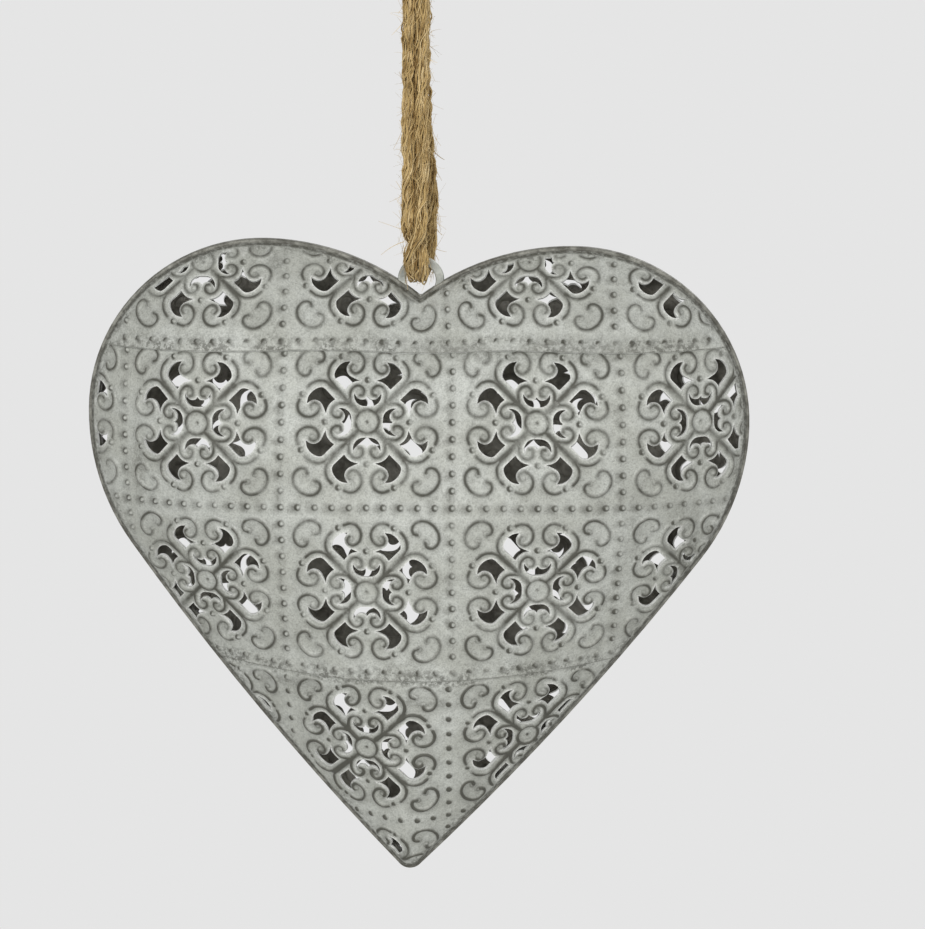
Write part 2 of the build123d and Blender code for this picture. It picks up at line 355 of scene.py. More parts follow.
# one eighth of a medallion, in half tiles from its middle: the rest is mirrored and turned
medallion = dict(
    petal=[[(-.216, .711), (-.290, .698), (-.352, .655), (-.393, .592), (-.402, .535), (-.382, .498)],
           [(-.382, .498), (-.262, .380)],
           [(-.262, .380), (-.222, .430), (-.168, .466), (-.098, .484)],
           [(-.098, .484), (-.162, .512), (-.217, .542), (-.250, .588), (-.254, .645), (-.216, .711)]],
    bowlOut=[(0, .183), (-.070, .189), (-.125, .222), (-.158, .282), (-.160, .338)],
    bowlIn=[(-.160, .338), (-.134, .300), (-.104, .272), (-.064, .262), (-.026, .270), (0, .300)],
    ring=.137,
    bar=[(-.105, .105), (-.25, .25), (-.38, .385), (-.438, .452)],
    backLine=[(-.438, .452), (-.470, .512), (-.477, .580), (-.455, .655), (-.405, .715)],
    hook=[(-.262, .800), (-.190, .822), (-.115, .800), (-.066, .735), (-.060, .660), (-.092, .597),
          (-.150, .565), (-.204, .582), (-.222, .632), (-.196, .668)],
    volute=[(-.205, .235), (-.213, .300), (-.203, .362), (-.160, .412), (-.100, .422), (-.050, .376),
            (-.056, .318), (-.096, .306)],
    corner=[(-.600, .690), (-.552, .705), (-.534, .760), (-.565, .818), (-.630, .850), (-.705, .845),
            (-.765, .812), (-.790, .790)],
    beads=[(0, .494), (-.325, .765)],
    buttons=[(-.178, .640), (-.608, .700), (-.100, .340)],
    edgeBeads=5)
# the bead disc and cap widths size each bead's painted shade crescent and painted lit side
relief = dict(ribHalf=.52, ribHigh=.46, lineWash=.31, barHalf=.70, barWash=.52, haloWide=1.1, haloWash=.20,
              beadRadius=.62, beadHigh=.50, smallBead=.50, smallHigh=.8, beadShadeWide=1.15, litCapWide=.62,
              buttonRadius=.62, buttonHigh=.24, buttonWash=.45, lipWide=.35, lipHigh=.12, rubWide=.24,
              discWide=.115, discHigh=.12, dotRadius=.36, dotDeep=.22, dotWash=.9)
# support points for the pressing, in mm: dense along ribs and holes, sparse on the plain sheet
support = dict(ribStep=.40, ribSides=(0, .2, -.2, .42, -.42, .68, -.68), barStep=.44,
               barSides=(0, .3, -.3, .6, -.6, .85, -.85), holeStep=.3, holeSides=(.25, -.25, .52, -.52),
               beadRings=(.26, .5, .8), fineGap=.19, plainStep=1.05, squash=.92, stagger=.5, plainGap=.62)
# painted shade and light on the beads: each bead's dark ring of wash is moved left and its pale cap right, so
# the ring is a painted shade crescent on the left and the cap a painted lit side on the right; towards the tip
# and near a lap edge the beads are dark dots with little pale cap, and the wash is darker towards the tip
beadShading = dict(strength=1.25, shadeMove=(.14, .03), litCapMove=(-.12, -.02), shrink=2, litCapLoss=.75,
               tipFrom=-66, tipOver=6, tipDarker=.4, lapReach=5, lapShare=.7)
halfTile = tin["pitch"] / 2


def smoothLine(points, step=0.25):
    pts = np.asarray(points, float) * halfTile
    if len(pts) == 2:
        return evenSteps(pts, step)
    ends = np.vstack([2 * pts[0] - pts[1], pts, 2 * pts[-1] - pts[-2]])
    t = np.linspace(0, 1, 12, endpoint=False)[:, None]
    runs = []
    for a, b, c, d in zip(ends, ends[1:], ends[2:], ends[3:]):
        square, cube = 2 * a - 5 * b + 4 * c - d, 3 * b - a - 3 * c + d
        runs.append(.5 * (2 * b + (c - a) * t + square * t ** 2 + cube * t ** 3))
    return evenSteps(np.vstack(runs + [pts[-1:]]), step)


def mirrored(points, turnIndex):
    x, y = points[:, 0], points[:, 1]
    if turnIndex & 1:
        x = -x
    if turnIndex & 2:
        x, y = -y, -x
    if turnIndex & 4:
        x, y = -x, -y
    return np.c_[x, y]


petalLoop = np.vstack([smoothLine(run)[:-1] for run in medallion["petal"]])
bowlHalf = np.vstack([smoothLine(medallion["bowlOut"])[:-1], smoothLine(medallion["bowlIn"])])
bowlLoop = np.vstack([bowlHalf, bowlHalf[::-1][1:-1] * (-1, 1)])
ringLine = arcPoints(0, 0, medallion["ring"] * halfTile, 90, 135, 14)
thinLines = [smoothLine(medallion[k]) for k in ("backLine", "hook", "volute", "corner")] + [ringLine]
barLine = smoothLine(medallion["bar"])
edgeBeads = [(-k / medallion["edgeBeads"], 1.0) for k in range(medallion["edgeBeads"] + 1)]


def foldTile(uv, tile):
    local = (uv - tile + halfTile) % tin["pitch"] - halfTile
    a = np.abs(local)
    return np.c_[-a.min(1), a.max(1)]


def lineGap(points, lines):
    best = np.full(len(points), 1e3)
    for line in lines:
        for a, b in zip(line, line[1:]):
            d = b - a
            t = np.clip(((points - a) @ d) / (d @ d), 0, 1)
            best = np.minimum(best, np.hypot(*(points - a - t[:, None] * d).T))
    return best


def bump(gap, radius):
    return np.clip(1 - (gap / radius) ** 2, 0, None) ** 1.5


def pressTile(p):
    # height of the pressing, its dark wash, its rubbed bright edges, and each bead's dark disc and pale cap,
    # which are later moved apart to paint the bead's shade crescent and lit side
    rib, bar = lineGap(p, thinLines), lineGap(p, [barLine])
    hole = lineGap(p, [np.vstack([petalLoop, petalLoop[:1]]), bowlHalf])
    middle = np.hypot(p[:, 0], p[:, 1])
    high = relief["ribHigh"] * np.maximum(bump(rib, relief["ribHalf"]), bump(bar, relief["barHalf"]))
    washAndShade = np.maximum(np.exp(-(rib / relief["lineWash"]) ** 2), np.exp(-(bar / relief["barWash"]) ** 2))
    washAndShade = np.maximum(washAndShade, relief["haloWash"] * np.exp(-(np.minimum(rib, bar) / relief["haloWide"]) ** 2))
    beadShade, litCap = np.zeros(len(p)), np.zeros(len(p))
    rounds = ((medallion["beads"], relief["smallBead"], relief["beadHigh"] * relief["smallHigh"]),
              (edgeBeads, relief["beadRadius"], relief["beadHigh"]),
              (medallion["buttons"], relief["buttonRadius"], relief["buttonHigh"]))
    for group, radius, tall in rounds:
        for x, y in group:
            gap = np.hypot(p[:, 0] - x * halfTile, p[:, 1] - y * halfTile)
            high = np.maximum(high, tall * bump(gap, radius))
            if group is medallion["buttons"]:
                foot = np.exp(-((gap - .85 * radius) / (.5 * radius)) ** 2)
                washAndShade = np.maximum(washAndShade, relief["buttonWash"] * foot)
            else:
                beadShade = np.maximum(beadShade, np.exp(-(gap / (relief["beadShadeWide"] * radius)) ** 4))
                litCap = np.maximum(litCap, np.exp(-(gap / (relief["litCapWide"] * radius)) ** 4))
    high += relief["lipHigh"] * np.exp(-(hole / relief["lipWide"]) ** 2)
    disc, dot = bump(middle, relief["discWide"] * halfTile), bump(middle, relief["dotRadius"])
    high += relief["discHigh"] * disc - relief["dotDeep"] * dot
    washAndShade = np.maximum(washAndShade, relief["dotWash"] * np.exp(-(middle / relief["dotRadius"]) ** 2))
    rubbed = np.exp(-(hole / relief["rubWide"]) ** 2)
    return high, washAndShade, rubbed, beadShade, litCap


pressStep = .06
pressed = np.arange(0, halfTile + 2 * pressStep, pressStep)
pressSpots = np.stack(np.meshgrid(-pressed, pressed), -1).reshape(-1, 2)
pressFields = [field.reshape(len(pressed), -1) for field in pressTile(pressSpots)]


def pressSheet(uv, tile, darkDots):
    # the bead discs are sampled moved left and the pale caps moved right: painted shade on each bead's left,
    # painted light on its right
    moves = ((0, 0), (0, 0), (0, 0), beadShading["shadeMove"], beadShading["litCapMove"])
    spots = (foldTile(uv + move, np.asarray(tile)) * (-1, 1) for move in moves)
    taken = [sample(field, p, 0, 0, pressStep) for field, p in zip(pressFields, spots)]
    high, washAndShade, rubbed, beadShade, litCap = taken
    beadShade = beadShade ** (1 + beadShading["shrink"] * darkDots)
    shadeCrescent = beadShading["strength"] * beadShade * (1 - litCap * (1 - beadShading["litCapLoss"] * darkDots))
    return high, np.maximum(washAndShade, shadeCrescent), rubbed


def thinOut(points, gap, taken):
    kept = []
    cells = {}
    for q in taken:
        cells.setdefault((int(q[0] // gap), int(q[1] // gap)), []).append(q)
    for q in points:
        i, j = int(q[0] // gap), int(q[1] // gap)
        around = [(a, b) for a in (i - 1, i, i + 1) for b in (j - 1, j, j + 1)]
        near = (c for cell in around for c in cells.get(cell, ()))
        if all((q[0] - c[0]) ** 2 + (q[1] - c[1]) ** 2 >= gap * gap for c in near):
            cells.setdefault((i, j), []).append(q)
            kept.append(q)
    return np.array(kept)


def sideLines(line, offsets):
    run = np.gradient(line, axis=0)
    normal = np.c_[-run[:, 1], run[:, 0]] / np.maximum(np.hypot(*run.T), 1e-9)[:, None]
    return np.vstack([line + normal * o for o in offsets])


def tilePoints():
    wedge = [sideLines(evenSteps(line, support["ribStep"]), support["ribSides"]) for line in thinLines]
    wedge.append(sideLines(evenSteps(barLine, support["barStep"]), support["barSides"]))
    for loop in (petalLoop, bowlLoop):
        wedge.append(sideLines(evenSteps(loop, support["holeStep"], closed=True), support["holeSides"]))
    angles = np.linspace(0, 2 * math.pi, 10, endpoint=False)
    for x, y in medallion["beads"] + edgeBeads + medallion["buttons"] + [(0, 0)]:
        centre = np.array((x, y)) * halfTile
        wedge.append(centre[None])
        for radius in support["beadRings"]:
            wedge.append(centre + radius * np.c_[np.cos(angles), np.sin(angles)])
    wedge = np.vstack(wedge)
    wedge = wedge[(wedge[:, 0] <= .01) & (wedge[:, 1] >= -wedge[:, 0] - .01)]
    full = np.vstack([mirrored(wedge, k) for k in range(8)])
    # staggered rows on the plain sheet
    rows = np.arange(-halfTile, halfTile, support["plainStep"])
    gx, gy = np.meshgrid(rows, rows * support["squash"])
    gx = gx + np.where(np.arange(len(rows)) % 2, support["stagger"], 0)[:, None]
    plain = np.c_[gx.ravel(), gy.ravel()]
    loops = tileHoles()
    fine = thinOut(full, support["fineGap"], np.vstack(loops))
    rough = thinOut(plain, support["plainGap"], np.vstack([np.vstack(loops), fine]))
    pts = np.vstack([fine, rough])
    pts = pts[(np.abs(pts) <= halfTile).all(1)]
    holed = np.zeros(len(pts), bool)
    for loop in loops:
        holed |= isInside(pts, loop)
    return pts[~holed]


def tileHoles():
    loops = [mirrored(petalLoop, k) for k in range(8)]
    loops += [mirrored(bowlLoop, k) for k in (0, 4, 2, 6)]
    return loops


tileSupport = tilePoints()
print("medallion drawn,", len(tileSupport), "support points to a tile")


def cutBand(loop, level, turn, keepAbove):
    # keeps the part of a loop on one side of a straight cut across the sheet
    uv = planToSheet(loop, turn)
    side = uv[:, 1] - level if keepAbove else level - uv[:, 1]
    if (side >= 0).all():
        return loop
    first = int(np.flatnonzero((side >= 0) & (np.roll(side, 1) < 0))[0])
    loop, uv, side = (np.roll(a, -first, axis=0) for a in (loop, uv, side))
    last = int(np.flatnonzero((side[:-1] >= 0) & (side[1:] < 0))[0])
    ends = []
    for i, j in ((last, last + 1), (0, -1)):
        ends.append(uv[i, 0] + (uv[j, 0] - uv[i, 0]) * side[i] / (side[i] - side[j]))
    across = np.linspace(ends[0], ends[1], max(8, int(abs(ends[1] - ends[0]) / tin["cutStep"])))
    cut = sheetToPlan(np.c_[across, np.full(len(across), level)], turn)
    return np.vstack([loop[:last + 1], cut])


def clipHole(loop):
    # a hole that runs over the rim stops at a narrow land of plain sheet
    gap, index = nearest(loop, outline)
    run = np.roll(outline, -1, axis=0)[index] - np.roll(outline, 1, axis=0)[index]
    inward = np.c_[run[:, 1], -run[:, 0]] / np.hypot(*run.T)[:, None]
    outside = ~isInside(loop, outline)
    if outside.mean() > tin["mostOutside"]:
        return None
    near = outside | (gap < tin["rimLand"])
    clipped = np.where(near[:, None], outline[index] + inward * tin["rimLand"], loop)
    step = np.hypot(*(clipped - np.roll(clipped, 1, axis=0)).T)
    clipped = clipped[step > .06]
    if len(clipped) < 5:
        return None
    x, y = clipped.T
    area = abs((x * np.roll(y, -1) - y * np.roll(x, -1)).sum()) / 2
    return clipped if area > tin["smallestHole"] else None


def cutHeight(level, turn):
    across = np.linspace(-tin["reach"], tin["reach"], 31)
    return sheetToPlan(np.c_[across, np.full(31, level)], turn)[:, 1].max()


# grime left on the front: x, y and size across and along in mm, strength
grime = [(-33, 1.5, .7, 6.5, .55), (10, -8.0, 15, 1.6, .55), (29, -6.5, 12, 2.2, .60),
         (-12, -9.5, 9, 1.2, .45), (49, -45, 4, 10, .55), (40, -40, 3, 12, .30), (-50, -30, 1.4, 8, .45),
         (-45, -47, 2.5, 4, .45), (-26, 6.5, 1.5, 2, .5), (2, -72, 13, 1.3, .40), (-22, -70, 8, 1.2, .45),
         (-2, -104, 4, 2.5, .55), (2, -20, 2.5, 5, .22), (-15, -60, 12, 4, .14), (22, 2, 9, 4, .20)]
# where the pressing fades out, in mm in from the rim and under the strip above
fading = dict(rimStart=.3, rimOver=.8, lapStart=.3, lapOver=.5)


def grimeOn(plan):
    total = np.zeros(len(plan))
    for x, y, wide, tall, strength in grime:
        away = ((plan[:, 0] - x) / wide) ** 2 + ((plan[:, 1] - y) / tall) ** 2
        total = np.maximum(total, strength * np.exp(-away))
    return total


def stripBand(isFront, order, rows):
    # where a strip lies on the flat sheet
    side = tin["front"] if isFront else tin["back"]
    tile = np.array(side["tile"]) + side["slips"][order]
    top = tile[1] + halfTile - rows[0] * tin["pitch"]
    foot = tile[1] - halfTile - rows[-1] * tin["pitch"]
    return dict(turn=side["turn"], tile=tile, rows=rows, top=top, foot=foot,
                upper=top + tin["lapAbove"], lower=foot - tin["lapBelow"])


def stripPoints(band):
    turn, upper, lower = band["turn"], band["upper"], band["lower"]
    edge = cutBand(cutBand(outline, lower, turn, True), upper, turn, False)
    edge = evenSteps(edge, tin["edgeStep"], closed=True)
    holes, inner = [], []
    for row in band["rows"]:
        for column in range(-3, 4):
            centre = band["tile"] + np.array((column, -row)) * tin["pitch"]
            for loop in tileHoles():
                clipped = clipHole(sheetToPlan(loop + centre, turn))
                if clipped is not None:
                    holes.append(clipped)
            inner.append(tileSupport + centre)
    # rows of points on the plain sheet of the laps
    across = np.arange(-75, 75, 1.1)
    for level in np.r_[np.arange(band["top"] + .5, upper, .9), np.arange(lower + .5, band["foot"], .9)]:
        inner.append(np.c_[across, np.full(len(across), level)])
    inner = np.vstack(inner)
    onBand = (inner[:, 1] > lower + tin["clear"]) & (inner[:, 1] < upper - tin["clear"])
    inner = sheetToPlan(inner[onBand & (np.abs(inner[:, 0]) < 80)], turn)
    inner = inner[onGrid("gap", inner) > tin["clear"]]
    for loop in holes:
        low, high = loop.min(0) - .1, loop.max(0) + .1
        near = np.flatnonzero(((inner > low) & (inner < high)).all(1))
        inner = np.delete(inner, near[isInside(inner[near], loop)], axis=0)
    return edge, holes, inner


def cutStrip(band):
    edge, holes, inner = stripPoints(band)
    points = [edge] + holes + [inner]
    links, start = [], 0
    for loop in points[:-1]:
        count = len(loop)
        links += [(start + i, start + (i + 1) % count) for i in range(count)]
        start += count
    made = delaunay_2d_cdt([Vector(q) for q in np.vstack(points)], links, [], 0, 1e-5, False)
    plan = np.array([tuple(v) for v in made[0]])
    faces = np.array([f for f in made[2] if len(f) == 3])
    middle = plan[faces].mean(1)
    level = planToSheet(middle, band["turn"])[:, 1]
    keep = (onGrid("gap", middle) > 0) & (level > band["lower"]) & (level < band["upper"])
    for loop in holes:
        low, high = loop.min(0), loop.max(0)
        near = np.flatnonzero(((middle > low) & (middle < high)).all(1) & keep)
        keep[near[isInside(middle[near], loop)]] = False
    used, faces = np.unique(faces[keep], return_inverse=True)
    return plan[used], faces.reshape(-1, 3), len(holes)


def pressStrip(band, plan, lap):
    # dome, lap spring and relief along the dome's own normal
    turn, upper, lower = band["turn"], band["upper"], band["lower"]
    uv = planToSheet(plan, turn)
    # towards the tip and near the lap edge the beads become dark dots, and the wash is made darker towards the
    # tip
    tipward = np.clip((beadShading["tipFrom"] - plan[:, 1]) / beadShading["tipOver"], 0, 1)
    overLap = np.clip(beadShading["lapReach"] - uv[:, 1] + lower, 0, 1) if lap else 0.0
    darkDots = np.maximum(tipward, beadShading["lapShare"] * overLap)
    # this mask is the dark wash together with the painted shade crescents of the beads
    high, washAndShade, rubbed = pressSheet(uv, band["tile"], darkDots)
    washAndShade = washAndShade * (1 + beadShading["tipDarker"] * tipward)
    rise, slopeX, slopeY = (onGrid(key, plan) for key in ("rise", "slopeX", "slopeY"))
    rimGap = np.maximum(onGrid("gap", plan), 0)
    lapGap = uv[:, 1] - lower if lap else np.full(len(plan), 50.0)
    fade = np.clip((rimGap - fading["rimStart"]) / fading["rimOver"], 0, 1)
    # where the strip above laps over this one, a dark line and dark patches are painted along its edge: painted
    # shadow under the lap
    if band["rows"][0] >= 0:
        cover = band["top"] - tin["lapBelow"]
        lapGap = np.minimum(lapGap, 3 * np.abs(cover - uv[:, 1]))
        fade = fade * np.clip((cover - fading["lapStart"] - uv[:, 1]) / fading["lapOver"], 0, 1)
    high, washAndShade, rubbed = high * fade, washAndShade * fade, rubbed * fade
    # a pressed sheet is never quite even
    wave = np.sin(plan[:, 0] * .31 + 1.7), np.sin(plan[:, 1] * .27 + band["tile"][0])
    high = high + tin["waveHigh"] * wave[0] * wave[1]
    crest = min(cutHeight(upper, turn), heart["lobeRise"])
    spring = lap / (crest - cutHeight(lower, turn)) * (crest - plan[:, 1])
    # the rim is pressed down on the weld, but not where the next strip lies under it
    under = np.clip((band["foot"] + tin["lapAbove"] + 2 - uv[:, 1]) / 2, 0, 1) if lap else 0.0
    settle = (1 - np.clip(rimGap / tin["rimPress"], 0, 1)) ** 2 * (dome["rimGap"] + spring * (1 - under))
    normal = np.c_[-slopeX, -slopeY, np.ones(len(plan))]
    normal /= np.linalg.norm(normal, axis=1)[:, None]
    level = rise + spring - settle + dome["rimLevel"] + tin["thickness"]
    outer = np.c_[plan, level] + normal * high[:, None]
    fields = dict(washAndShade=washAndShade, rubbed=rubbed, rimGap=rimGap, lapGap=lapGap)
    return np.vstack([outer, outer - normal * tin["thickness"]]), fields


def makeStrip(name, isFront, order, rows, lap):
    band = stripBand(isFront, order, rows)
    plan, faces, holeCount = cutStrip(band)
    local, fields = pressStrip(band, plan, lap)
    count = len(plan)
    fields["grime"] = grimeOn(plan) if isFront else np.zeros(count)
    # the back shell faces the other way
    facing = 1 if isFront else -1
    place = np.c_[facing * local[:, 0], -facing * local[:, 2], local[:, 1] - heart["notchDrop"]]
    # outside, inside, cut edges of the holes, and the rim that the weld has run over
    runs = np.vstack([faces[:, (0, 1)], faces[:, (1, 2)], faces[:, (2, 0)]])
    border = runs[~np.isin(runs[:, 0] * count + runs[:, 1], runs[:, 1] * count + runs[:, 0])]
    a, b = border.T
    walls = np.c_[b, a, a + count, b + count]
    isRim = fields["rimGap"][border].max(1) < .05
    paints = np.r_[np.zeros(len(faces)), np.ones(len(faces)), np.where(isRim, 3, 2)]
    allFaces = faces.tolist() + (faces[:, ::-1] + count).tolist() + walls.tolist()
    mesh = bpy.data.meshes.new(name)
    mesh.from_pydata((place * mm).tolist(), [], allFaces)
    mesh.polygons.foreach_set("material_index", paints.astype(np.int32))
    for key, values in fields.items():
        both = np.tile(np.asarray(values, np.float32), 2)
        mesh.attributes.new(key, "FLOAT", "POINT").data.foreach_set("value", both)
    piece = finishPiece(name, mesh, ("antiqueTin", "shellInside", "cutEdge", "darkWeld"), 50)
    print(name, holeCount, "holes,", 2 * (len(faces) + len(walls)), "triangles")
    return piece


# finishes
def makeBlotchGroup():
    # blotched metal: two tones, uneven roughness and a fine grain
    tree = bpy.data.node_groups.new("blotchedMetal", "ShaderNodeTree")
    tone, number = "NodeSocketColor", "NodeSocketFloat"
    for name, kind in (("Dark", tone), ("Light", tone), ("Scale", number), ("Rough", number)):
        tree.interface.new_socket(name=name, in_out="INPUT", socket_type=kind)
    for name, kind in (("Color", tone), ("Roughness", number), ("Height", number)):
        tree.interface.new_socket(name=name, in_out="OUTPUT", socket_type=kind)
    given, made = tree.nodes.new("NodeGroupInput"), tree.nodes.new("NodeGroupOutput")
    scale = given.outputs["Scale"]
    blotch = addNoise(tree, scale, 4, .6)
    grain = addNoise(tree, addMath(tree, "MULTIPLY", scale, 5.0), 3, .6)
    mixed = addMix(tree, addRange(tree, blotch, .35, .68), given.outputs["Dark"], given.outputs["Light"])
    uneven = addMath(tree, "ADD", given.outputs["Rough"], addRange(tree, grain, .3, .7, -.08, .1))
    tree.links.new(mixed, made.inputs["Color"])
    tree.links.new(uneven, made.inputs["Roughness"])
    tree.links.new(grain, made.inputs["Height"])
    return tree


blotchGroup = makeBlotchGroup()


def addBlotch(tree, dark, light, scale, rough):
    worn = tree.nodes.new("ShaderNodeGroup")
    worn.node_tree = blotchGroup
    for key, value in (("Dark", dark), ("Light", light), ("Scale", scale), ("Rough", rough)):
        worn.inputs[key].default_value = value
    return worn.outputs


def makePlain(name, dark, light, scale, rough, metallic, bumpSize):
    tree, shader = newPaint(name)
    worn = addBlotch(tree, dark, light, scale, rough)
    tree.links.new(worn["Color"], shader.inputs["Base Color"])
    tree.links.new(worn["Roughness"], shader.inputs["Roughness"])
    shader.inputs["Metallic"].default_value = metallic
    tree.links.new(addBump(tree, worn["Height"], .35, bumpSize), shader.inputs["Normal"])


# the wash colour also serves as painted shade; edges: near, far and strength of the dark line, then reach and
# strength of the dirt beside it, which just under a lapping strip's edge are painted shadow
antique = dict(pale=(.545, .560, .520, 1), dull=(.455, .465, .420, 1), washAndShade=(.070, .069, .055, 1),
               bright=(.790, .800, .760, 1), metallic=.12, blotches=120.0, rough=.60, bumpSize=.0002,
               washAndShadeStrength=1.2, rubStrength=.90,
               edges=dict(rimGap=(.30, .75, 1.0, 2.4, .75), lapGap=(.10, .32, .70, 4.8, .75)))


def makeTin(spec):
    tree, shader = newPaint("antiqueTin")

    def times(a, b):
        return addMath(tree, "MULTIPLY", a, b)

    def most(a, b):
        return addMath(tree, "MAXIMUM", a, b)

    worn = addBlotch(tree, spec["dull"], spec["pale"], spec["blotches"], spec["rough"])
    grain = addNoise(tree, 1500, 4, .65)
    fine = addNoise(tree, 3400, 2, .6)
    speck = addNoise(tree, 1050, 4, .72)
    blot = addNoise(tree, 170, 4, .6)
    rubbed = times(addAttribute(tree, "rubbed"), spec["rubStrength"])
    base = addMix(tree, rubbed, worn["Color"], spec["bright"])
    grained = addMix(tree, addRange(tree, grain, .3, .7, .10, .44), base, spec["washAndShade"])
    base = addMix(tree, addRange(tree, fine, .36, .66), grained, base)
    # dark wash in the pressing, uneven where it was wiped; the same mask holds the painted shade crescents
    # beside the beads
    wiped = times(addRange(tree, blot, .36, .60, .60, 1.05), addRange(tree, grain, .2, .6, .84, 1.0))
    stainAndShade = times(times(addAttribute(tree, "washAndShade"), spec["washAndShadeStrength"]), wiped)
    # thin line at the very rim and at the laps, and dirt in patches beside it; just under the edge of a lapping
    # strip the line and patches are painted shadow
    patch = times(addRange(tree, blot, .38, .56), addRange(tree, speck, .42, .56))
    for name, (near, far, line, reach, dirt) in spec["edges"].items():
        gap = addAttribute(tree, name)
        edge = times(addRange(tree, gap, near, far, line, 0), addRange(tree, speck, .36, .58, .60, 1.0))
        beside = times(addRange(tree, gap, .3, reach, dirt, 0), patch)
        stainAndShade = most(stainAndShade, most(edge, beside))
    # loose stains where the wash wasn't wiped off
    loose = times(addAttribute(tree, "grime"), addRange(tree, speck, .34, .60, .35, 1.25))
    stray = times(addRange(tree, blot, .60, .78), addRange(tree, speck, .46, .62, 0, .50))
    stainAndShade = most(stainAndShade, most(loose, stray))
    tree.links.new(addMix(tree, stainAndShade, base, spec["washAndShade"]), shader.inputs["Base Color"])
    tree.links.new(worn["Roughness"], shader.inputs["Roughness"])
    shader.inputs["Metallic"].default_value = spec["metallic"]
    tree.links.new(addBump(tree, grain, .18, spec["bumpSize"]), shader.inputs["Normal"])


makeTin(antique)
makePlain("shellInside", (.230, .220, .190, 1), (.540, .525, .470, 1), 240, .65, .1, .0003)
makePlain("cutEdge", (.60, .61, .58, 1), (.84, .85, .82, 1), 700, .5, .1, .0001)
makePlain("darkWeld", (.085, .082, .066, 1), (.270, .268, .234, 1), 420, .5, .2, .0003)
makePlain("eyeSteel", (.260, .268, .240, 1), (.460, .472, .430, 1), 300, .45, .25, .0002)
print("metal finishes made")

strips = [("top", (-1,), True), ("middle", (0, 1), True), ("bottom", (2, 3), False)]
for side, isFront in (("front", True), ("back", False)):
    for order, (part, rows, isLapped) in enumerate(strips):
        lap = tin["thickness"] + tin["lapGap"] if isLapped else 0.0
        piece = makeStrip(side + part.capitalize() + "Sheet", isFront, order, rows, lap)
        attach(piece, "heart")
        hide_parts(f"{side}_{part}_strip")
print("shells pressed")

for node, paint in (("rim_weld", "darkWeld"), ("hanging_eye", "eyeSteel")):
    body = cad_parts[node]
    body.data.materials.clear()
    body.data.materials.append(bpy.data.materials[paint])

# jute loop: two loose plies of long fibres, from the knot down through the eye and up again behind
rope = dict(diameter=4.6, exit=(0, -3.6, 0), length=112.1,
            route=[(-1.9, -3.6, 0), (-1.3, -3.6, -26), (-1.3, -3.6, -45), (-.75, -3.6, -50.6), (-.45, 0, -54.3),
                   (.2, 3.6, -50.6), (.6, 3.6, -45), (-.05, 3.6, -33), (-1.7, 3.6, -21), (-1.8, 3.6, 0)],
            plyOffset=1.10, plyRadius=1.20, fibres=46, fibreRadius=(.08, .21), lay=40.0, step=.7,
            crossFrom=43.0, crossTo=51.5, squeeze=.55, flare=0.0, ragged=0, grooveWide=.42, seed=11)
knot = dict(entry=[(0, -3.6, -1.0), (0, -3.7, .6)], startAngle=-50, turns=1.4, radius=3.7, low=1.6, high=8.6,
            tailStart=(-2.45, 8.7), tail=13.0, splay=14.0, tailDrift=.3,
            plyOffset=.95, plyRadius=1.05, fibres=22, fibreRadius=(.14, .28), lay=30.0, step=.8,
            crossFrom=900.0, crossTo=901.0, squeeze=0.0, flare=.5, ragged=5, grooveWide=.30, seed=23)
# fibres in the groove between the plies are darkened as painted shade
fibre = dict(goldenTurn=2.39996, flareOver=5, bightWide=3.4, bightSpread=.2, thinnest=.06,
             tone=(.15, .95), grooveShade=.45)
# unevenness along the cord: its amount, and the length of its waves in mm
sway = dict(twist=(.30, 46), ply=(.10, 15), angle=(.70, 13), out=(.24, 6), thick=(.35, 7), tone=(.22, 13))
hairs = dict(count=700, length=(.8, 2.8), thickness=.034, stout=(.6, 1.2), lift=(.1, .9), lead=(.4, 1.0),
             tone=(.3, 1), curl=.8, steps=7, taper=.6, bightLevel=-52, seed=5,
             long=[((-2.9, -4.6, -46.5), (-1, -.2, -.25), 4.4, 1.3),
                   ((-2.6, -4.4, -44.6), (-1, 0, .35), 3.4, 1.0),
                   ((1.4, 3.0, -30.6), (.62, -.2, -.75), 3.4, 2.2),
                   ((1.5, 3.2, -31.4), (.50, -.1, -.85), 3.2, 1.8),
                   ((1.8, 3.0, -33.5), (.45, -.2, -1), 2.8, 1.5),
                   ((-2.7, -4.2, -37.5), (-.7, 0, -.7), 3.2, 1.0),
                   ((2.0, 3.0, -48.5), (1, -.1, -.6), 2.6, 1.2)])
# short fibres in the groove are darkened too, as painted shade
fuzz = dict(count=1100, length=(1.4, 3.8), thickness=.058, stout=(.6, 1.3), lift=(-.05, .16), spread=.45,
            sink=.10, tone=(.35, 1.1), curl=.3, grooveShade=.6, grooveWide=.25)


def readRoute(name, points):
    # the smooth line through a route, read from its curve
    data = bpy.data.curves.new(name, "CURVE")
    data.dimensions = "3D"
    data.resolution_u = 24
    line = data.splines.new("NURBS")
    line.points.add(len(points) - 1)
    for spot, q in zip(line.points, points):
        spot.co = (q[0] * mm, q[1] * mm, q[2] * mm, 1)
    line.order_u = 3
    line.use_endpoint_u = True
    holder = bpy.data.objects.new(name, data)
    scene.collection.objects.link(holder)
    mesh = bpy.data.meshes.new_from_object(holder)
    found = np.array([v.co[:] for v in mesh.vertices]) / mm
    bpy.data.objects.remove(holder)
    bpy.data.curves.remove(data)
    bpy.data.meshes.remove(mesh)
    return found


def waver(along, rng, key):
    amount, length = sway[key]
    out = np.zeros(len(along))
    for k in range(3):
        out += np.sin(2 * math.pi * along * (1 + .7 * k) / length + rng.uniform(0, 2 * math.pi)) / (1 + k)
    return amount * (out / 1.6)


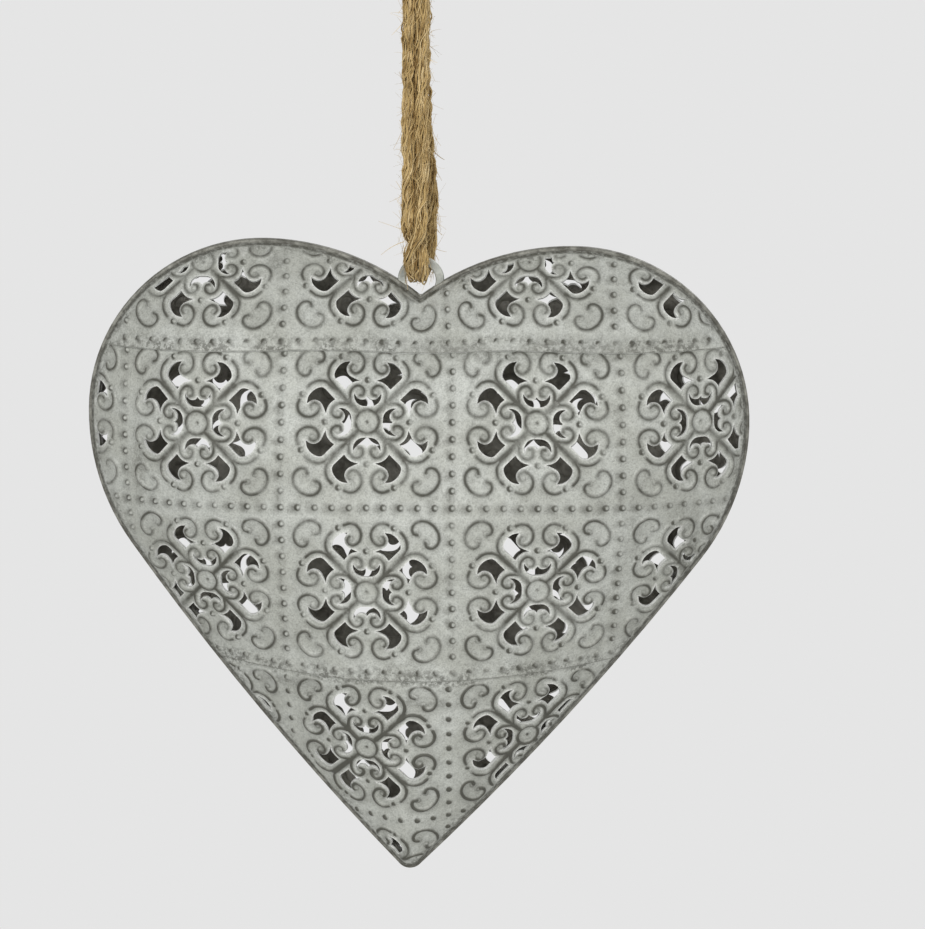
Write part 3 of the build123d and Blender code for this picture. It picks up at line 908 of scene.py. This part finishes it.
def steadyFrame(path):
    run = np.gradient(path, axis=0)
    run /= np.linalg.norm(run, axis=1)[:, None]
    side, last = np.empty_like(run), np.array((1.0, .01, .02))
    for i, t in enumerate(run):
        last = last - t * (last @ t)
        last = last / np.linalg.norm(last)
        side[i] = last
    return side, np.cross(run, side)


def addTube(store, line, side, up, thick, tone, sides=5):
    a = np.linspace(0, 2 * math.pi, sides, endpoint=False)
    ring = np.cos(a)[None, :, None] * side[:, None] + np.sin(a)[None, :, None] * up[:, None]
    points = (line[:, None] + ring * thick[:, None, None]).reshape(-1, 3)
    start = store["count"]
    for i in range(len(line) - 1):
        for k in range(sides):
            p, q = start + i * sides + k, start + i * sides + (k + 1) % sides
            store["faces"].append((p, q, q + sides, p + sides))
    store["faces"].append(tuple(start + k for k in reversed(range(sides))))
    store["faces"].append(tuple(start + (len(line) - 1) * sides + k for k in range(sides)))
    store["points"].append(points)
    store["tone"].append(np.repeat(tone, sides))
    store["count"] += len(points)


def around(angle, side, up):
    return np.cos(angle)[:, None] * side + np.sin(angle)[:, None] * up


def layFibres(store, path, spec, rng):
    side, up = steadyFrame(path)
    along = np.r_[0, np.cumsum(np.linalg.norm(np.diff(path, axis=0), axis=1))]
    cross = np.clip((along - spec["crossFrom"]) / (spec["crossTo"] - spec["crossFrom"]), 0, 1)
    twist = math.pi * cross * cross * (3 - 2 * cross) + waver(along, rng, "twist")
    endward = np.clip((along - along[-1] + fibre["flareOver"]) / fibre["flareOver"], 0, 1)
    fan = 1 + spec["flare"] * endward ** 2
    bight = spec["squeeze"] * np.exp(-((along - along[-1] / 2) / fibre["bightWide"]) ** 2)
    for ply in (0, 1):
        turn = twist + ply * math.pi
        away = spec["plyOffset"] * (1 + waver(along, rng, "ply")) * fan * (1 - bight)
        middle = path + away[:, None] * around(turn, side, up)
        for k in range(spec["fibres"]):
            reach = spec["plyRadius"] * math.sqrt((k + .5) / spec["fibres"])
            angle = fibre["goldenTurn"] * k + 2 * math.pi * along / spec["lay"] + waver(along, rng, "angle")
            out = reach * (1 + waver(along, rng, "out")) * fan * (1 + fibre["bightSpread"] * bight)
            line = middle + out[:, None] * around(angle, side, up)
            thick = rng.uniform(*spec["fibreRadius"]) * (1 + waver(along, rng, "thick"))
            thick = np.maximum(thick, fibre["thinnest"])
            # painted shade in the groove between the plies: fibres there are made darker
            inward = (away + out * np.cos(angle - turn)) / spec["grooveWide"]
            tone = rng.uniform(*fibre["tone"]) + waver(along, rng, "tone")
            tone = tone - fibre["grooveShade"] * np.exp(-inward ** 2)
            stop = len(line) - int(rng.integers(0, spec["ragged"] + 1))
            addTube(store, line[:stop], side[:stop], up[:stop], thick[:stop], tone[:stop])


def newStore():
    return dict(points=[], faces=[], tone=[], count=0)


def makeFibres(name, store):
    mesh = bpy.data.meshes.new(name)
    mesh.from_pydata((np.vstack(store["points"]) * mm).tolist(), [], store["faces"])
    tone = np.concatenate(store["tone"]).astype(np.float32)
    mesh.attributes.new("tone", "FLOAT", "POINT").data.foreach_set("value", tone)
    piece = finishPiece(name, mesh, ("juteFibre",), 80)
    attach(piece, "cord")
    print(name, len(mesh.polygons), "faces")
    return piece


jute = dict(dark=(.215, .124, .030, 1), middle=(.480, .335, .132, 1), light=(.700, .540, .285, 1))


def makeJute(spec):
    tree, shader = newPaint("juteFibre")
    streak = addNoise(tree, 900, 4, .6, stretch=(3, 3, .5))
    blot = addNoise(tree, 260, 3, .6)
    tone = addMath(tree, "MULTIPLY_ADD", streak, .7, -.35)
    # the tone attribute carries the painted groove shade as well as each fibre's own tone
    tone = addMath(tree, "ADD", addAttribute(tree, "tone"), tone)
    tone = addMath(tree, "ADD", tone, addMath(tree, "MULTIPLY_ADD", blot, 1.5, -.75))
    shade = addMix(tree, addRange(tree, tone, -.1, .5), spec["dark"], spec["middle"])
    shade = addMix(tree, addRange(tree, tone, .45, 1.1), shade, spec["light"])
    tree.links.new(shade, shader.inputs["Base Color"])
    tree.links.new(addRange(tree, streak, .3, .7, .72, .92), shader.inputs["Roughness"])
    tree.links.new(addBump(tree, streak, .5, .0002), shader.inputs["Normal"])
    shader.inputs["Sheen Weight"].default_value = .15


def makeCord(spec):
    path = evenSteps(readRoute("ropeRoute", spec["route"]), spec["step"])
    store = newStore()
    layFibres(store, path, spec, np.random.default_rng(spec["seed"]))
    piece = makeFibres("juteCord", store)
    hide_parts("jute_cord")
    return piece, path


def makeKnot(spec):
    store, rng = newStore(), np.random.default_rng(spec["seed"])
    for half in (0, 1):
        points = list(spec["entry"])
        for k in range(9):
            a = math.radians(spec["startAngle"]) + k / 8 * spec["turns"] * 2 * math.pi
            rise = spec["low"] + (spec["high"] - spec["low"]) * k / 8
            points.append((spec["radius"] * math.cos(a), spec["radius"] * math.sin(a), rise))
        lean = math.radians(spec["splay"])
        tailY, tailZ = spec["tailStart"]
        for k in (0, .4, .7, 1):
            out = k * spec["tail"]
            points.append((spec["tailDrift"] * k, tailY - out * math.sin(lean), tailZ + out * math.cos(lean)))
        points = np.array(points) * ((-1, -1, 1) if half else (1, 1, 1))
        path = evenSteps(readRoute("knotRoute", points), spec["step"])
        layFibres(store, path, spec, rng)
    piece = makeFibres("juteKnot", store)
    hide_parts("cord_knot")
    return piece


def addHair(store, start, heading, length, thickness, tone, rng, curl):
    heading = np.asarray(heading, float) / np.linalg.norm(heading)
    bend = rng.normal(0, curl, 3)
    at = np.linspace(0, 1, hairs["steps"])[:, None]
    line = np.asarray(start) + length * (heading * at + bend * at ** 2 * .5)
    side, up = steadyFrame(line)
    thick = thickness * (1 - hairs["taper"] * at[:, 0])
    addTube(store, line, side, up, thick, np.full(len(at), tone), sides=3)


def plyFace(angle):
    # how far out the two plies reach in one direction
    c, offset = abs(math.cos(angle)), rope["plyOffset"]
    return offset * c + math.sqrt(rope["plyRadius"] ** 2 - offset ** 2 * (1 - c * c))


def pickSpot(path, side, up, rng):
    i = int(rng.integers(1, len(path) - 1))
    a = rng.uniform(0, 2 * math.pi)
    return i, a, math.cos(a) * side[i] + math.sin(a) * up[i]


def makeHairs(spec, short, path):
    store, rng = newStore(), np.random.default_rng(spec["seed"])
    side, up = steadyFrame(path)
    for _ in range(spec["count"]):
        i, a, out = pickSpot(path, side, up, rng)
        if path[i, 2] < spec["bightLevel"] and out[2] < 0:
            continue
        start = path[i] + out * plyFace(a)
        lead = (path[i + 1] - path[i - 1]) / 1.6
        heading = out * rng.uniform(*spec["lift"]) + lead * rng.choice((-1, 1)) * rng.uniform(*spec["lead"])
        length = rng.uniform(*spec["length"]) * rng.uniform(.4, 1) * (1.6 if rng.uniform() < .04 else 1)
        thickness = spec["thickness"] * rng.uniform(*spec["stout"])
        addHair(store, start, heading, length, thickness, rng.uniform(*spec["tone"]), rng, spec["curl"])
    # short fibres that have worked loose and lie on the plies
    for _ in range(short["count"]):
        i, a, out = pickSpot(path, side, up, rng)
        across = math.cos(a) * up[i] - math.sin(a) * side[i]
        start = path[i] + out * (plyFace(a) - short["sink"])
        lead = (path[i + 1] - path[i - 1]) / 1.4
        heading = lead * rng.choice((-1, 1)) + across * rng.normal(0, short["spread"])
        heading = heading + out * rng.uniform(*short["lift"])
        length = rng.uniform(*short["length"])
        thickness = short["thickness"] * rng.uniform(*short["stout"])
        # short fibres lying in the groove between the plies get painted shade
        groove = math.exp(-(math.cos(a) / short["grooveWide"]) ** 2)
        tone = rng.uniform(*short["tone"]) - short["grooveShade"] * groove
        addHair(store, start, heading, length, thickness, tone, rng, short["curl"])
    # the few long hairs that stand out in the photo
    for start, heading, length, stout in spec["long"]:
        addHair(store, start, heading, length, spec["thickness"] * stout * 1.5, .5, rng, .45)
    return makeFibres("juteHairs", store)


makeJute(jute)
cordPiece, cordPath = makeCord(rope)
knotPiece = makeKnot(knot)
hairPiece = makeHairs(hairs, fuzz, cordPath)
print("cord laid")
